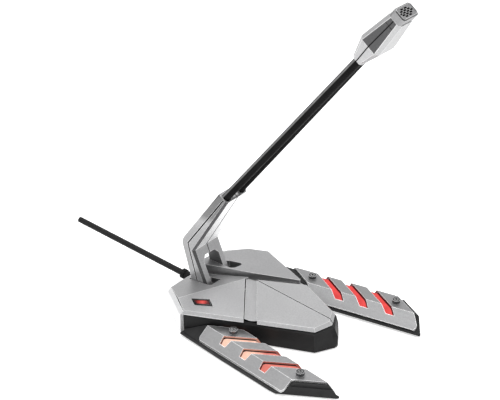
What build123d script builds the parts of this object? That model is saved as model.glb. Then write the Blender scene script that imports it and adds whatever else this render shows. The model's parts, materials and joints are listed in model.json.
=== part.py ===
from build123d import *
from math import hypot
import os

# Desk microphone: a faceted arrowhead base with two lit side feet, a tilting
# bent yoke at the rear, twin goosenecks and a faceted capsule head.
# Frame: +Z up, desk at z = 0, mid-plane x = 0, nose towards -Y, cable towards +Y.
# Left is -X and right is +X; a side factor is -1 on the left, +1 on the right.

os.makedirs("parts", exist_ok=True)

SIDES = (("left", -1), ("right", 1))
THROUGH = 20                # depth of cuts that only have to pass through
PAD_T = 0.8                 # rubber pad height under every black moulding

# Heights of the base
FLOOR_Z = 2.8               # inner floor of the tub
WAIST_Z = 9.6               # level where the tub walls change slope
RIM_Z = 14.0                # top of the tub walls, underside of the rear covers
UPSTAND_Z = 15.7            # level where the raised rim starts its bevel
SKIN_Z = 17.25              # underside of the left and nose covers
LIP_Z = 17.4                # foot of the bevel along the edges of the covers
BEVEL = 2.1                 # size of that 45 degree bevel
REAR_Z = 18.2               # height of the rear corners
PEAK_Z = 20.5               # height where the left covers meet the wing

# Corners of the body plan
REAR_HX, REAR_Y = 34.5, 60.0        # rear corner
WIDE_HX, WIDE_Y = 54.0, 31.5        # widest corner
NOSE_HX, NOSE_Y = 15.0, -57.0       # left shoulder of the nose
TIP_Y = -61.5                       # nose tip
SHOULDER = (12.8, -55.2)            # right shoulder of the nose

# Plan points (x, y) of the cover joints
BADGE_REAR = (-44.9, 45.86)         # badge cover meets the rear side facet
BADGE_PEAK = (9.8, 20.2)            # inner end of the badge cover
BAND_REAR_LIP = (-35.7, -10.15)     # rear edge of the band, at the long lip
BAND_REAR_TOP = (6.85, 21.4)
BAND_FRONT_LIP = (-31.65, -19.2)    # front edge of the band, at the long lip
BAND_FRONT_TOP = (10.25, 13.1)
NOSE_JOINT_TOP = (10.85, 13.3)      # joint between the two nose covers
NOSE_JOINT_TIP = (2.4, -60.3)
NOSE_GAP = 0.38                     # half width of that joint
CORNER_TOP, CORNER_LIP = (28.8, -18.8), (30.7, -19.5)   # right corner of the nose cover
STRIP_REAR, STRIP_MID = (-5.2, 57.6), (11.2, 19.4)      # left edge of the trim strip
WING_REAR, WING_MID = (-2.6, 57.6), (13.5, 20.2)        # left edge of the wing
WING_FRONT = (31.4, -11.1)

# Tilt axis and yoke
PIVOT = (45.5, 9.8)                 # y, z of the tilt axis
PIN_R = 1.8
YOKE_HX = 14.8                      # half width of the yoke up to its bend
ELBOW = (52.0, 43.2)                # y, z of the front elbow, where the halves start to narrow
FRONT_LOW, FRONT_HIGH = (42.0, 20.0), (22.6, 91.6)      # y, z of the front edge's ends
YOKE_TOP_HX, YOKE_TOP_Z = 12.0, 97.3                    # half width at the collar
ARCH_HX, ARCH_Z = 8.6, 36.7         # half width and crown of the arch under the yoke
YOKE_GAP = 0.2                      # half of the joint between the halves

# Twin goosenecks
TUBE_R = 3.0
CUP_R = 3.06                        # radius of the cup that rides on a ball end
TUBE_X0, TUBE_X1 = 8.0, 3.2         # tube centre offset at the collar and head
NECK = Vector(0, -0.62514, 0.78051)     # direction of the goosenecks
FRONT = Vector(0, -0.78051, -0.62514)   # square to the neck, to its front underside
COLLAR = Vector(0, 26.8, 93.3)      # centre between the two tube sockets

# Stations along the neck, measured from the collar
JOINTS = tuple(16.0 + 36.0 * i for i in range(4))
HEAD_START = 164.3                  # lower end of the head
HEAD_WIDE = 180.6                   # widest section of the head
SHELL_START = HEAD_WIDE + 0.1       # lower end of the upper shells
HEAD_END = 204.8                    # upper end of the shells
SPAN = (TUBE_X0 - TUBE_X1) / HEAD_START     # sideways closing of a tube per mm

# Cable
CABLE_R = 2.4
CABLE_DIR = Vector(0, 0.9962, 0.0866)
CABLE_REF = Vector(0, 76.3, 8.0)    # about the outer end of the sleeve


# ---------------------------------------------------------------- helpers
def save(part, name):
    part.label = name
    export_step(part, f"parts/{name}.step")


def shift(point, dx, dy=0.0):
    return (point[0] + dx, point[1] + dy)


def slab(name, bottom, height, outline, trims=(), opening=()):
    """Plan outline extruded up, cut down to each trim plane, with an opening if given."""
    with BuildPart() as body:
        with BuildSketch(Plane.XY.offset(bottom)):
            Polygon(*outline, align=None)
        extrude(amount=height)
        for trim in trims:
            split(bisect_by=trim, keep=Keep.BOTTOM)
        if opening:
            with BuildSketch(Plane.XY.offset(RIM_Z - 1)):
                Polygon(*opening, align=None)
            extrude(amount=12, mode=Mode.SUBTRACT)
    save(body.part, name)


def tube_dir(side):
    """Direction of one tube; the two close in from the collar to the head."""
    return Vector(-side * SPAN, NECK.Y, NECK.Z).normalized()


def tube_at(side, distance):
    """Centre of one tube at a distance up the neck."""
    return COLLAR + NECK * distance + Vector(side * (TUBE_X0 - SPAN * distance), 0, 0)


def neck_plane(distance):
    """Plane square to the neck; its x is +X and its y points away from FRONT."""
    return Plane(origin=COLLAR + NECK * distance, x_dir=(1, 0, 0), z_dir=NECK)


def cable_plane(back):
    """Plane square to the cable, back mm inwards from CABLE_REF."""
    return Plane(origin=CABLE_REF - CABLE_DIR * back, z_dir=CABLE_DIR)


# ------------------------------------------------------------ facet planes
def edge_bevel(start, end):
    """45 degree plane through the outline edge start-end, rising towards the body centre."""
    run = Vector(end[0] - start[0], end[1] - start[1], 0).normalized()
    normal = Vector(-run.Y, run.X, 0)
    if normal.dot(Vector(0 - start[0], 10 - start[1], 0)) > 0:
        normal = normal * -1
    return Plane(origin=(start[0], start[1], LIP_Z), z_dir=(normal.X, normal.Y, 1))


def plane_up(first, second, third):
    """Plane through three points with its normal upwards."""
    normal = (second - first).cross(third - first)
    return Plane(origin=first, z_dir=normal if normal.Z > 0 else normal * -1)


long_bevel = edge_bevel((-WIDE_HX, WIDE_Y), (-NOSE_HX, NOSE_Y))
front_bevel = edge_bevel((-NOSE_HX, NOSE_Y), (0, TIP_Y))
tip_bevel = edge_bevel((0, TIP_Y), SHOULDER)
corner_bevel = edge_bevel(SHOULDER, CORNER_LIP)
facet_bevel = edge_bevel((-WIDE_HX, WIDE_Y), (-REAR_HX, REAR_Y))

# left covers: rise from the top of the bevel on the long lip to the peak
lip_dir = Vector(WIDE_HX - NOSE_HX, NOSE_Y - WIDE_Y, 0).normalized()
lip_rise = Vector(-lip_dir.Y, lip_dir.X, 0) * BEVEL + Vector(0, 0, BEVEL)
peak = Vector(*BADGE_PEAK, PEAK_Z)
left_plane = plane_up(Vector(-WIDE_HX, WIDE_Y, LIP_Z) + lip_rise,
                      Vector(-NOSE_HX, NOSE_Y, LIP_Z) + lip_rise, peak)
rear_plane = plane_up(Vector(-REAR_HX, REAR_Y, REAR_Z), Vector(*BADGE_REAR, 19.73), peak)
nose_plane = plane_up(Vector(*NOSE_JOINT_TOP, 20.45), Vector(*NOSE_JOINT_TIP, 19.72),
                      Vector(*CORNER_TOP, LIP_Z + BEVEL))

# wing: two facets share the crease from its middle to its outer point
wing_middle = Vector(14.0, 20.9, 22.9)
wing_outer = Vector(43.5, 47.0, 19.8)
wing_planes = (
    plane_up(wing_middle, wing_outer, Vector(-0.6, 53.1, 25.0)),            # rear
    plane_up(wing_middle, wing_outer, Vector(31.6, -11.2, 19.4)),           # front
    plane_up(wing_outer, Vector(35.2, 60.4, 17.6), Vector(20.0, 60.4, 22.7)),   # rear corner
)

# ---------------------------------------------------------------- base tub
# Plan outlines (x, y) of the walls, then of the raised rim under the
# left and nose covers, from the bottom up.
TUB_FOOT = [(33.2, 58.2), (-33.2, 58.2), (-51.4, 31.2), (-15.7, -57.9), (-2.0, -65.6),
            (0, -65.9), (2.0, -65.6), (15.3, -57.2), (51.4, 31.2)]
TUB_WAIST = [(33.2, 58.2), (-33.2, 58.2), (-51.4, 31.2), (-15.9, -57.6), (-2.7, -63.6),
             (0, -66.7), (2.7, -63.6), (15.0, -56.8), (51.4, 31.2)]
TUB_RIM = [(33.2, 58.2), (-33.2, 58.2), (-51.4, 31.2), (-16.0, -57.2), (-3.0, -62.4),
           (0, -64.4), (3.0, -62.4), (14.0, -56.0), (51.0, 31.2)]
UPSTAND_FOOT = [(-51.4, 31.0), (-16.0, -57.2), (-3.0, -62.4), (0, -64.4),
                (3.0, -62.4), (14.0, -56.0), (31.2, -17.5), (28.4, -17.5)]
UPSTAND_MID = [(-51.6, 31.0), (-16.2, -56.9), (-3.4, -62.0), (0, -63.2),
               (3.2, -62.0), (13.6, -55.8), (31.0, -18.6), (28.4, -18.6)]
UPSTAND_TOP = [(-51.0, 30.8), (-14.5, -56.2), (-3.0, -59.9), (0, -60.9),
               (2.4, -59.8), (12.2, -54.6), (29.7, -18.9), (28.2, -18.9)]
CAVITY = [(31.6, 56.0), (-31.6, 56.0), (-48.2, 30.6), (-12.4, -53.6), (0, -57.9),
          (10.6, -52.6), (28.0, -15.0), (48.2, 30.6)]
TUB_LAYERS = (              # lower z, lower outline, upper z, upper outline
    (PAD_T, TUB_FOOT, WAIST_Z, TUB_WAIST),
    (WAIST_Z, TUB_WAIST, RIM_Z, TUB_RIM),
    (RIM_Z - 0.01, UPSTAND_FOOT, UPSTAND_Z, UPSTAND_MID),
    (UPSTAND_Z, UPSTAND_MID, SKIN_Z - 0.05, UPSTAND_TOP),
)
LUG_X, LUG_W, LUG_D = 18.7, 4.0, 13.0       # bearing lugs for the tilt pin
BASE_SCREWS = ((-27, 14), (27, 14), (-10, -38), (10, -38))

with BuildPart() as base_tub:
    for low_z, low_outline, high_z, high_outline in TUB_LAYERS:
        with BuildSketch(Plane.XY.offset(low_z)):
            Polygon(*low_outline, align=None)
        with BuildSketch(Plane.XY.offset(high_z)):
            Polygon(*high_outline, align=None)
        loft(ruled=True)
    # open cavity for the boards and the yoke ends
    with BuildSketch(Plane.XY.offset(FLOOR_Z)):
        Polygon(*CAVITY, align=None)
    extrude(amount=THROUGH, mode=Mode.SUBTRACT)
    # two bearing lugs with the pin hole
    with BuildSketch(Plane.XY.offset(FLOOR_Z - 0.1)):
        with Locations((-LUG_X, PIVOT[0]), (LUG_X, PIVOT[0])):
            Rectangle(LUG_W, LUG_D)
    extrude(amount=RIM_Z - FLOOR_Z)
    with BuildSketch(Plane.YZ.offset(-24)):
        with Locations(PIVOT):
            Circle(PIN_R + 0.04)
    extrude(amount=48, mode=Mode.SUBTRACT)
    # outlet for the cable sleeve in the rear wall
    with BuildSketch(cable_plane(26)):
        Circle(3.35)
    extrude(amount=12, mode=Mode.SUBTRACT)
    # screw holes with sunk seats in the floor
    for hole_r, depth in ((1.7, 4), (3.1, 1.9)):
        with BuildSketch(Plane.XY.offset(0)):
            with Locations(*BASE_SCREWS):
                Circle(hole_r)
        extrude(amount=depth, mode=Mode.SUBTRACT)
save(base_tub.part, "base_tub")

# ------------------------------------------------- steel plate on the floor
with BuildPart() as ballast_plate:
    with BuildSketch(Plane.XY.offset(FLOOR_Z + 0.05)):
        Polygon((-40, 26), (40, 26), (11.5, -46), (-11.5, -46), align=None)
        with Locations(*BASE_SCREWS):
            Circle(1.6, mode=Mode.SUBTRACT)
    extrude(amount=4.0)
save(ballast_plate.part, "ballast_plate")

# ------------------------------------------------------------- base screws
SCREW_Z, SCREW_HEAD_T = 0.9, 0.95       # underside and thickness of the heads
with BuildPart() as base_screws:
    with BuildSketch(Plane.XY.offset(SCREW_Z)):
        with Locations(*BASE_SCREWS):
            Circle(2.9)
    extrude(amount=SCREW_HEAD_T)
    with BuildSketch(Plane.XY.offset(SCREW_Z + SCREW_HEAD_T)):
        with Locations(*BASE_SCREWS):
            Circle(1.5)
    extrude(amount=5.0)
    # hexagon sockets in the underside
    with BuildSketch(Plane.XY.offset(SCREW_Z)):
        with Locations(*BASE_SCREWS):
            RegularPolygon(1.2, 6)
    extrude(amount=0.6, mode=Mode.SUBTRACT)
save(base_screws.part, "base_screws")


# ----------------------------------------------------- rear side facets
def side_facet(name, side, height, trims=()):
    slab(name, PAD_T, height,
         [(side * (REAR_HX + 0.9), REAR_Y + 0.9), (side * (WIDE_HX + 0.5), WIDE_Y + 1.2),
          (side * (WIDE_HX - 1.9), WIDE_Y - 0.1), (side * (REAR_HX - 0.95), REAR_Y - 1.6)],
         trims)


side_facet("side_facet_left", -1, 18.4, (facet_bevel, rear_plane.offset(-0.1)))
side_facet("side_facet_right", 1, 15.9)

# ------------------------------------------------------------ covers
STOCK_T = 12                # height of a cover before its facets are cut

# left rear cover, open for the left leg of the yoke and a pocket ahead of it
slab("rear_cover", RIM_Z, STOCK_T,
     [(STRIP_REAR[0], REAR_Y), (-REAR_HX + 1.2, REAR_Y), (-REAR_HX + 1.1, REAR_Y - 1.5),
      (-42.25, 44.72), (9.66, 20.34), (10.3, 21.2), STRIP_REAR],
     trims=(rear_plane, facet_bevel),
     opening=[(-15.2, 57.2), (-15.2, 37.6), (-13.6, 36.6), (-3.0, 36.2), (-4.6, 44.6),
              (-8.2, 45.4), (-8.2, 57.2)])

# left badge cover with the window for the lit mute key
slab("badge_cover", SKIN_Z, STOCK_T,
     [(-42.31, 44.60), (-WIDE_HX + 2.0, WIDE_Y - 0.15), (-WIDE_HX, WIDE_Y - 0.8),
      BAND_REAR_LIP, BAND_REAR_TOP],
     trims=(left_plane, long_bevel, facet_bevel),
     opening=[(-37.61, 36.09), (-30.14, 24.7), (-35.34, 17.76), (-42.07, 29.37)])

# scooped band between the badge cover and the nose
with BuildPart() as band_insert:
    with BuildSketch(Plane.XY.offset(SKIN_Z)):
        Polygon((-33.6, -9.3), (-30.45, -18.15), shift(BAND_FRONT_TOP, -0.05, 0.1),
                (9.95, 19.6), shift(BAND_REAR_TOP, 0.62, -0.5), align=None)
    extrude(amount=STOCK_T)
    split(bisect_by=left_plane.offset(-0.2), keep=Keep.BOTTOM)
    # shallow cylindrical scoop running along the band
    with BuildSketch(Plane(origin=(-36.2, -16.6, 29.95), x_dir=(0.6042, -0.7965, 0),
                           z_dir=(0.7965, 0.6042, 0.0188))):
        Circle(11.6)
    extrude(amount=70, mode=Mode.SUBTRACT)
save(band_insert.part, "band_insert")

slab("nose_cover_left", SKIN_Z, STOCK_T,
     [BAND_FRONT_TOP, BAND_FRONT_LIP, (-NOSE_HX, NOSE_Y), (0, TIP_Y),
      shift(NOSE_JOINT_TIP, -NOSE_GAP, -0.1), shift(NOSE_JOINT_TOP, -NOSE_GAP)],
     trims=(left_plane, long_bevel, front_bevel, tip_bevel))

slab("nose_cover_right", SKIN_Z, STOCK_T,
     [shift(NOSE_JOINT_TOP, NOSE_GAP), shift(NOSE_JOINT_TIP, NOSE_GAP, 0.1), SHOULDER,
      CORNER_LIP, CORNER_TOP],
     trims=(nose_plane, tip_bevel, corner_bevel))

# dark trim strip beside the wing
slab("wing_trim", RIM_Z, 2.6,
     [shift(STRIP_REAR, 0.1), shift(STRIP_MID, 0.1), (STRIP_MID[0] + 0.2, 13.4),
      (27.6, -15.6), (31.6, -15.6), shift(WING_FRONT, 1.1, 0.2),
      shift(WING_MID, 1.7), shift(WING_REAR, 1.7)])

# raised right wing: an inset skirt below, the faceted top over it
WING_INSET = 1.9            # of the skirt along the left edge
SKIRT_T = 2.9
with BuildPart() as wing_cover:
    with BuildSketch(Plane.XY.offset(RIM_Z)):
        Polygon((WING_REAR[0] + WING_INSET, REAR_Y), shift(WING_REAR, WING_INSET),
                shift(WING_MID, WING_INSET), (33.4, -9.6), (50.9, 31.4),
                (REAR_HX - 1.2, REAR_Y - 1.5), (REAR_HX - 1.2, REAR_Y), align=None)
    extrude(amount=SKIRT_T)
    with BuildSketch(Plane.XY.offset(RIM_Z + SKIRT_T)):
        Polygon((WING_REAR[0], REAR_Y), WING_REAR, WING_MID, WING_FRONT,
                (32.8, -10.5), (52.3, 34.2), (REAR_HX + 0.7, REAR_Y + 0.4), align=None)
    extrude(amount=9)
    for wing_plane in wing_planes:
        split(bisect_by=wing_plane, keep=Keep.BOTTOM)
    # slot and forward pocket for the right leg of the yoke
    with BuildSketch(Plane.XY.offset(RIM_Z - 1)):
        Polygon((8.2, 57.2), (8.2, 36.6), (10.8, 34.2), (18.3, 33.3), (20.5, 35.8),
                (17.2, 44.4), (15.2, 46.0), (15.2, 57.2), align=None)
    extrude(amount=14, mode=Mode.SUBTRACT)
save(wing_cover.part, "wing_cover")

# ------------------------------------------------------------- mute key
KEY_STOCK_T = 7             # height of key and bezel before the top is cut
with BuildPart() as key_bezel:
    with BuildSketch(Plane.XY.offset(RIM_Z + 1.0)):
        Polygon((-37.61, 35.89), (-30.35, 24.69), (-35.33, 18.01), (-41.87, 29.38), align=None)
        Polygon((-37.66, 33.46), (-32.0, 24.64), (-35.39, 20.49), (-40.21, 29.23),
                align=None, mode=Mode.SUBTRACT)
    extrude(amount=KEY_STOCK_T)
    split(bisect_by=left_plane.offset(0.55), keep=Keep.BOTTOM)
save(key_bezel.part, "key_bezel")

slab("mute_key", RIM_Z + 0.2, KEY_STOCK_T,
     [(-37.66, 33.15), (-32.21, 24.63), (-35.39, 20.79), (-40.01, 29.24)],
     trims=(left_plane.offset(0.35),))

BOARD_Z, BOARD_T = 8.0, 1.6
SWITCH_XY, SWITCH_SIZE = (-36.2, 27.0), 6
with BuildPart() as key_switch:
    with BuildSketch(Plane.XY.offset(BOARD_Z + BOARD_T + 0.05)):
        with Locations(SWITCH_XY):
            Rectangle(SWITCH_SIZE, SWITCH_SIZE)
    extrude(amount=2.6)
    # plunger
    with BuildSketch(Plane.XY.offset(12.2)):
        with Locations(SWITCH_XY):
            Circle(1.6)
    extrude(amount=1.1)
save(key_switch.part, "key_switch")

slab("circuit_board", BOARD_Z, BOARD_T,
     [(-43, 31), (-24, 31), (-20, 22), (20, 22), (8, -34), (-14, -34)])

# ------------------------------------------------------------------ yoke
# Side outline (y, z) shared by both halves: lower end, back edge, top, front edge.
YOKE_SIDE = [(38.9, 13.0), (40.6, 5.4), (45.5, 3.6), (50.4, 5.4), (53.4, 11.0), (55.3, 19.5),
             (61.8, 42.6), (62.9, 45.8), (63.2, 48.0), (62.7, 50.2), (60.9, 53.4),
             (29.7, 97.0), FRONT_HIGH, ELBOW, FRONT_LOW]
GROOVE_NEAR, GROOVE_FAR = 5.0, 6.0      # groove edges, measured in from the back
GROOVE_DEPTH = 0.8
YOKE_BEVEL = 1.9                        # bevel along the front outer edge
YOKE_DEPTH = 80                         # cuts along Y run from y = 80 to y = 0
BRIDGE_S = 1.2                          # neck station of the bridge block's top


def back_line(inset):
    """Low end, bend and high end (y, z) of the back edge moved inwards."""
    low, low_dir = Vector(55.3, 19.5), Vector(7.7, 27.4).normalized()
    high, high_dir = Vector(63.4, 49.9), Vector(-33.0, 46.1).normalized()
    low = low + Vector(-low_dir.Y, low_dir.X) * inset
    high = high + Vector(-high_dir.Y, high_dir.X) * inset
    across = high - low
    reach = ((across.X * high_dir.Y - across.Y * high_dir.X)
             / (low_dir.X * high_dir.Y - low_dir.Y * high_dir.X))
    return low, low + low_dir * reach, high + high_dir * 57.0


near_low, near_bend, near_high = back_line(GROOVE_NEAR)
far_low, far_bend, far_high = back_line(GROOVE_FAR)
with BuildPart() as groove_tool:
    with BuildSketch(Plane.YZ.offset(-20)):
        Polygon((near_low.X - 1.0, near_low.Y - 4.2), (near_bend.X, near_bend.Y),
                (near_high.X, near_high.Y), (far_high.X, far_high.Y), (far_bend.X, far_bend.Y),
                (far_low.X - 1.0, far_low.Y - 4.2), align=None)
    extrude(amount=40)
    # only the skin of each outer side is grooved
    with BuildSketch(Plane.XZ.offset(-YOKE_DEPTH)):
        for _, side in SIDES:
            Polygon((side * (YOKE_HX - GROOVE_DEPTH), -5),
                    (side * (YOKE_HX - GROOVE_DEPTH), ELBOW[1]),
                    (side * (YOKE_TOP_HX - GROOVE_DEPTH), YOKE_TOP_Z),
                    (side * (YOKE_TOP_HX + 3), YOKE_TOP_Z),
                    (side * (YOKE_HX + 3), ELBOW[1]), (side * (YOKE_HX + 3), -5), align=None)
    extrude(amount=YOKE_DEPTH, mode=Mode.INTERSECT)


def bevel_tools(side):
    """Wedges along the front outer edge of a half, mitred at the elbow."""
    corner = Vector(side * YOKE_HX, *ELBOW)
    narrowing = ((YOKE_HX - YOKE_TOP_HX) * (FRONT_HIGH[1] - ELBOW[1])
                 / (YOKE_TOP_Z - ELBOW[1]))
    low_run = Vector(0, ELBOW[0] - FRONT_LOW[0], ELBOW[1] - FRONT_LOW[1]).normalized()
    high_run = (Vector(side * (YOKE_HX - narrowing), *FRONT_HIGH) - corner).normalized()
    mitre = Plane(origin=corner, z_dir=(low_run + high_run).normalized())
    reach = YOKE_BEVEL + 2
    tools = []
    for run, start, length, keep in ((low_run, 6, -60, Keep.BOTTOM),
                                     (high_run, -6, 80, Keep.TOP)):
        with BuildPart() as wedge:
            with BuildSketch(Plane(origin=corner + run * start, x_dir=(side, 0, 0), z_dir=run)):
                Polygon((2, -2 * side), (2, reach * side), (-reach, -2 * side), align=None)
            extrude(amount=length)
            split(bisect_by=mitre, keep=keep)
        tools.append(wedge.part)
    return tools


def yoke_half(name, side):
    wedges = bevel_tools(side)
    tube = tube_dir(side)
    with BuildPart() as half:
        with BuildSketch(Plane.YZ.offset(min(side * YOKE_HX, side * YOKE_GAP))):
            Polygon(*YOKE_SIDE, align=None)
        extrude(amount=YOKE_HX - YOKE_GAP)
        # front outline narrows to the collar
        with BuildSketch(Plane.XZ.offset(-YOKE_DEPTH)):
            Polygon((side * YOKE_GAP, 0), (side * YOKE_HX, 0), (side * YOKE_HX, ELBOW[1]),
                    (side * YOKE_TOP_HX, YOKE_TOP_Z), (side * YOKE_GAP, YOKE_TOP_Z), align=None)
        extrude(amount=YOKE_DEPTH, mode=Mode.INTERSECT)
        # arch opening between the two legs
        with BuildSketch(Plane.XZ.offset(-YOKE_DEPTH)):
            Polygon((0, -2), (side * ARCH_HX, -2), (side * ARCH_HX, 33.4),
                    (side * (ARCH_HX - 3.2), ARCH_Z), (0, ARCH_Z), align=None)
        extrude(amount=YOKE_DEPTH, mode=Mode.SUBTRACT)
        add(wedges, mode=Mode.SUBTRACT)
        add(groove_tool.part, mode=Mode.SUBTRACT)
        # rounded socket that takes the lower end of the gooseneck
        with BuildSketch(Plane(origin=tube_at(side, 2.2), x_dir=(tube.Z, 0, -tube.X),
                               z_dir=tube)):
            RectangleRounded(6.7, 7.2, 2.6)
        extrude(amount=-14, mode=Mode.SUBTRACT)
        # seat of the bridge block between the sockets
        with BuildSketch(neck_plane(BRIDGE_S)):
            Rectangle(6.0, 5.6)
        extrude(amount=-9, mode=Mode.SUBTRACT)
        # tilt pin hole
        with BuildSketch(Plane.YZ.offset(-20)):
            with Locations(PIVOT):
                Circle(PIN_R)
        extrude(amount=40, mode=Mode.SUBTRACT)
    save(half.part, name)


for side_name, side in SIDES:
    yoke_half(f"yoke_{side_name}", side)

with BuildPart() as yoke_bridge:
    with BuildSketch(neck_plane(BRIDGE_S)):
        Rectangle(5.9, 5.5)
    extrude(amount=-8.9)
    with BuildSketch(neck_plane(BRIDGE_S)):
        RectangleRounded(3.4, 2.6, 0.6)
    extrude(amount=-2.0, mode=Mode.SUBTRACT)
save(yoke_bridge.part, "yoke_bridge")

PIN_HX = 20.6               # half length of the tilt pin
with BuildPart() as tilt_pin:
    with BuildSketch(Plane.YZ.offset(-PIN_HX)):
        with Locations(PIVOT):
            Circle(PIN_R)
    extrude(amount=2 * PIN_HX)
save(tilt_pin.part, "tilt_pin")

WASHER_X, WASHER_R, WASHER_T = 14.9, 3.8, 1.6   # inner face, radius, thickness
with BuildPart() as friction_washers:
    for washer_start in (-WASHER_X - WASHER_T, WASHER_X):
        with BuildSketch(Plane.YZ.offset(washer_start)):
            with Locations(PIVOT):
                Circle(WASHER_R)
                Circle(PIN_R, mode=Mode.SUBTRACT)
        extrude(amount=WASHER_T)
save(friction_washers.part, "friction_washers")

# --------------------------------------------------------- twin goosenecks
# Each tube is a chain of links: a ball end on one link carries the cup of
# the next. The first link starts in the yoke, the last ends in the head.
LINKS = ("root", "one", "two", "three", "four")
LINK_ENDS = (-9, *JOINTS, HEAD_START + 6)

with BuildPart() as neck_bushes:
    for _, side in SIDES:
        with BuildSketch(Plane(origin=tube_at(side, -8.6), x_dir=(1, 0, 0),
                               z_dir=tube_dir(side))):
            Circle(3.24)
            Circle(TUBE_R + 0.01, mode=Mode.SUBTRACT)
        extrude(amount=6.5)
save(neck_bushes.part, "neck_bushes")


def neck_link(name, side, start, end, cup, ball):
    with BuildPart() as link:
        with BuildSketch(Plane(origin=tube_at(side, start), z_dir=tube_dir(side))):
            Circle(TUBE_R)
        extrude(amount=(tube_at(side, end) - tube_at(side, start)).length)
        if ball:
            with Locations(tube_at(side, end)):
                Sphere(TUBE_R)
        if cup:
            with Locations(tube_at(side, start)):
                Sphere(CUP_R, mode=Mode.SUBTRACT)
    save(link.part, name)


for side_name, side in SIDES:
    for i, link_name in enumerate(LINKS):
        neck_link(f"neck_{link_name}_{side_name}", side, LINK_ENDS[i], LINK_ENDS[i + 1],
                  cup=i > 0, ball=i < len(LINKS) - 1)


# ------------------------------------------------------------------ head
def octagon(half_x, side_y, front_x, half_y):
    """Octagon with side flats up to side_y and front and rear flats out to front_x."""
    return [(half_x, -side_y), (half_x, side_y), (front_x, half_y), (-front_x, half_y),
            (-half_x, side_y), (-half_x, -side_y), (-front_x, -half_y), (front_x, -half_y)]


MID_HX, TOP_HX = 11.0, 8.5      # half width at the widest section and upper end
OCT_LOW = octagon(7.4, 2.6, 6.2, 3.9)
OCT_MID = octagon(MID_HX, 5.9, 8.4, 8.3)
OCT_TOP = octagon(TOP_HX, 2.9, 5.6, 5.577)
SHELL_RISE = HEAD_END - HEAD_WIDE - 0.1
SHELL_LEAN = MID_HX - TOP_HX            # side faces lean in towards the capsule
PANEL_LEN = hypot(SHELL_LEAN, SHELL_RISE)
HEAD_HALVES = (("front", 1, Keep.TOP), ("rear", -1, Keep.BOTTOM))
shell_origin = COLLAR + NECK * SHELL_START
seam_plane = Plane(origin=COLLAR, x_dir=(1, 0, 0), z_dir=FRONT)


def on_head(distance, x, y):
    """Point of the neck_plane at a distance up the neck."""
    return COLLAR + NECK * distance + Vector(x, 0, 0) - FRONT * y


def taper_plane(i):
    """Outward plane of one flat of the tapered upper shell."""
    j = (i + 1) % 8
    corner = on_head(SHELL_START, *OCT_MID[i])
    next_corner = on_head(SHELL_START, *OCT_MID[j])
    top_middle = on_head(HEAD_END, (OCT_TOP[i][0] + OCT_TOP[j][0]) / 2,
                         (OCT_TOP[i][1] + OCT_TOP[j][1]) / 2)
    normal = (next_corner - corner).cross(top_middle - corner).normalized()
    if normal.dot((corner + next_corner) * 0.5 - shell_origin) < 0:
        normal = normal * -1
    return Plane(origin=corner, z_dir=normal)


def side_face(side):
    """Plane of a leaning side face, x running up the head."""
    return Plane(origin=shell_origin + Vector(side * MID_HX, 0, 0),
                 x_dir=(Vector(-side, 0, 0) * SHELL_LEAN + NECK * SHELL_RISE).normalized(),
                 z_dir=(Vector(side, 0, 0) * SHELL_RISE + NECK * SHELL_LEAN).normalized())


def head_flare(name, facing, keep):
    """Half of the lower head, widening upwards, bored for the two tubes."""
    with BuildPart() as flare:
        with BuildSketch(neck_plane(HEAD_START)):
            Polygon(*OCT_LOW, align=None)
        with BuildSketch(neck_plane(HEAD_WIDE)):
            Polygon(*OCT_MID, align=None)
        loft(ruled=True)
        for _, side in SIDES:
            with BuildSketch(Plane(origin=tube_at(side, HEAD_START - 2), z_dir=tube_dir(side))):
                Circle(TUBE_R + 0.02)
            extrude(amount=8.3, mode=Mode.SUBTRACT)
        split(bisect_by=seam_plane.offset(facing * 0.12), keep=keep)
    save(flare.part, name)


def head_shell(name, facing, keep):
    """Half of the tapered upper head, with panel recesses and the capsule cavity."""
    with BuildPart() as shell:
        with BuildSketch(neck_plane(SHELL_START)):
            Rectangle(24, 19)
        extrude(amount=SHELL_RISE)
        for i in range(8):
            split(bisect_by=taper_plane(i), keep=Keep.BOTTOM)
        for _, side in SIDES:
            with BuildSketch(side_face(side)):
                Polygon((-1, -5.72), (PANEL_LEN + 1, -2.47), (PANEL_LEN + 1, 2.47), (-1, 5.72),
                        align=None)
            extrude(amount=-1.05, mode=Mode.SUBTRACT)
        with BuildSketch(neck_plane(HEAD_WIDE + 8)):
            Rectangle(11.0, 7.4)
        extrude(amount=THROUGH, mode=Mode.SUBTRACT)
        split(bisect_by=seam_plane.offset(facing * 0.1), keep=keep)
    save(shell.part, name)


def head_panel(name, side):
    with BuildPart() as panel:
        with BuildSketch(side_face(side)):
            Polygon((0, -5.5), (PANEL_LEN, -2.5), (PANEL_LEN, 2.5), (0, 5.5), align=None)
        extrude(amount=-1.0)
        # centre seam and one cross joint near the capsule
        with BuildSketch(side_face(side)):
            Polygon((-1, -0.2), (PANEL_LEN + 1, -0.2), (PANEL_LEN + 1, 0.2), (-1, 0.2),
                    align=None)
            Polygon((19.2, -4), (19.6, -4), (19.6, 4), (19.2, 4), align=None)
        extrude(amount=-0.45, mode=Mode.SUBTRACT)
    save(panel.part, name)


for half_name, facing, keep in HEAD_HALVES:
    head_flare(f"head_flare_{half_name}", facing, keep)
    head_shell(f"head_shell_{half_name}", facing, keep)
for side_name, side in SIDES:
    head_panel(f"head_panel_{side_name}", side)

# --------------------------------------------------------------- capsule
CAP_W, CAP_D = 17.6, 9.8    # capsule frame across and through
GRILLE_X = -0.5             # centre of the slot pattern
SLOT_DX, SLOT_DY = 1.95, 1.25   # half pitches of the staggered slots
# a diamond of slots without its two end ones
GRILLE_SLOTS = [(GRILLE_X + SLOT_DX * (i - j), SLOT_DY * (3 - i - j))
                for i in range(4) for j in range(4) if 0 < i + j < 6]

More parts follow.
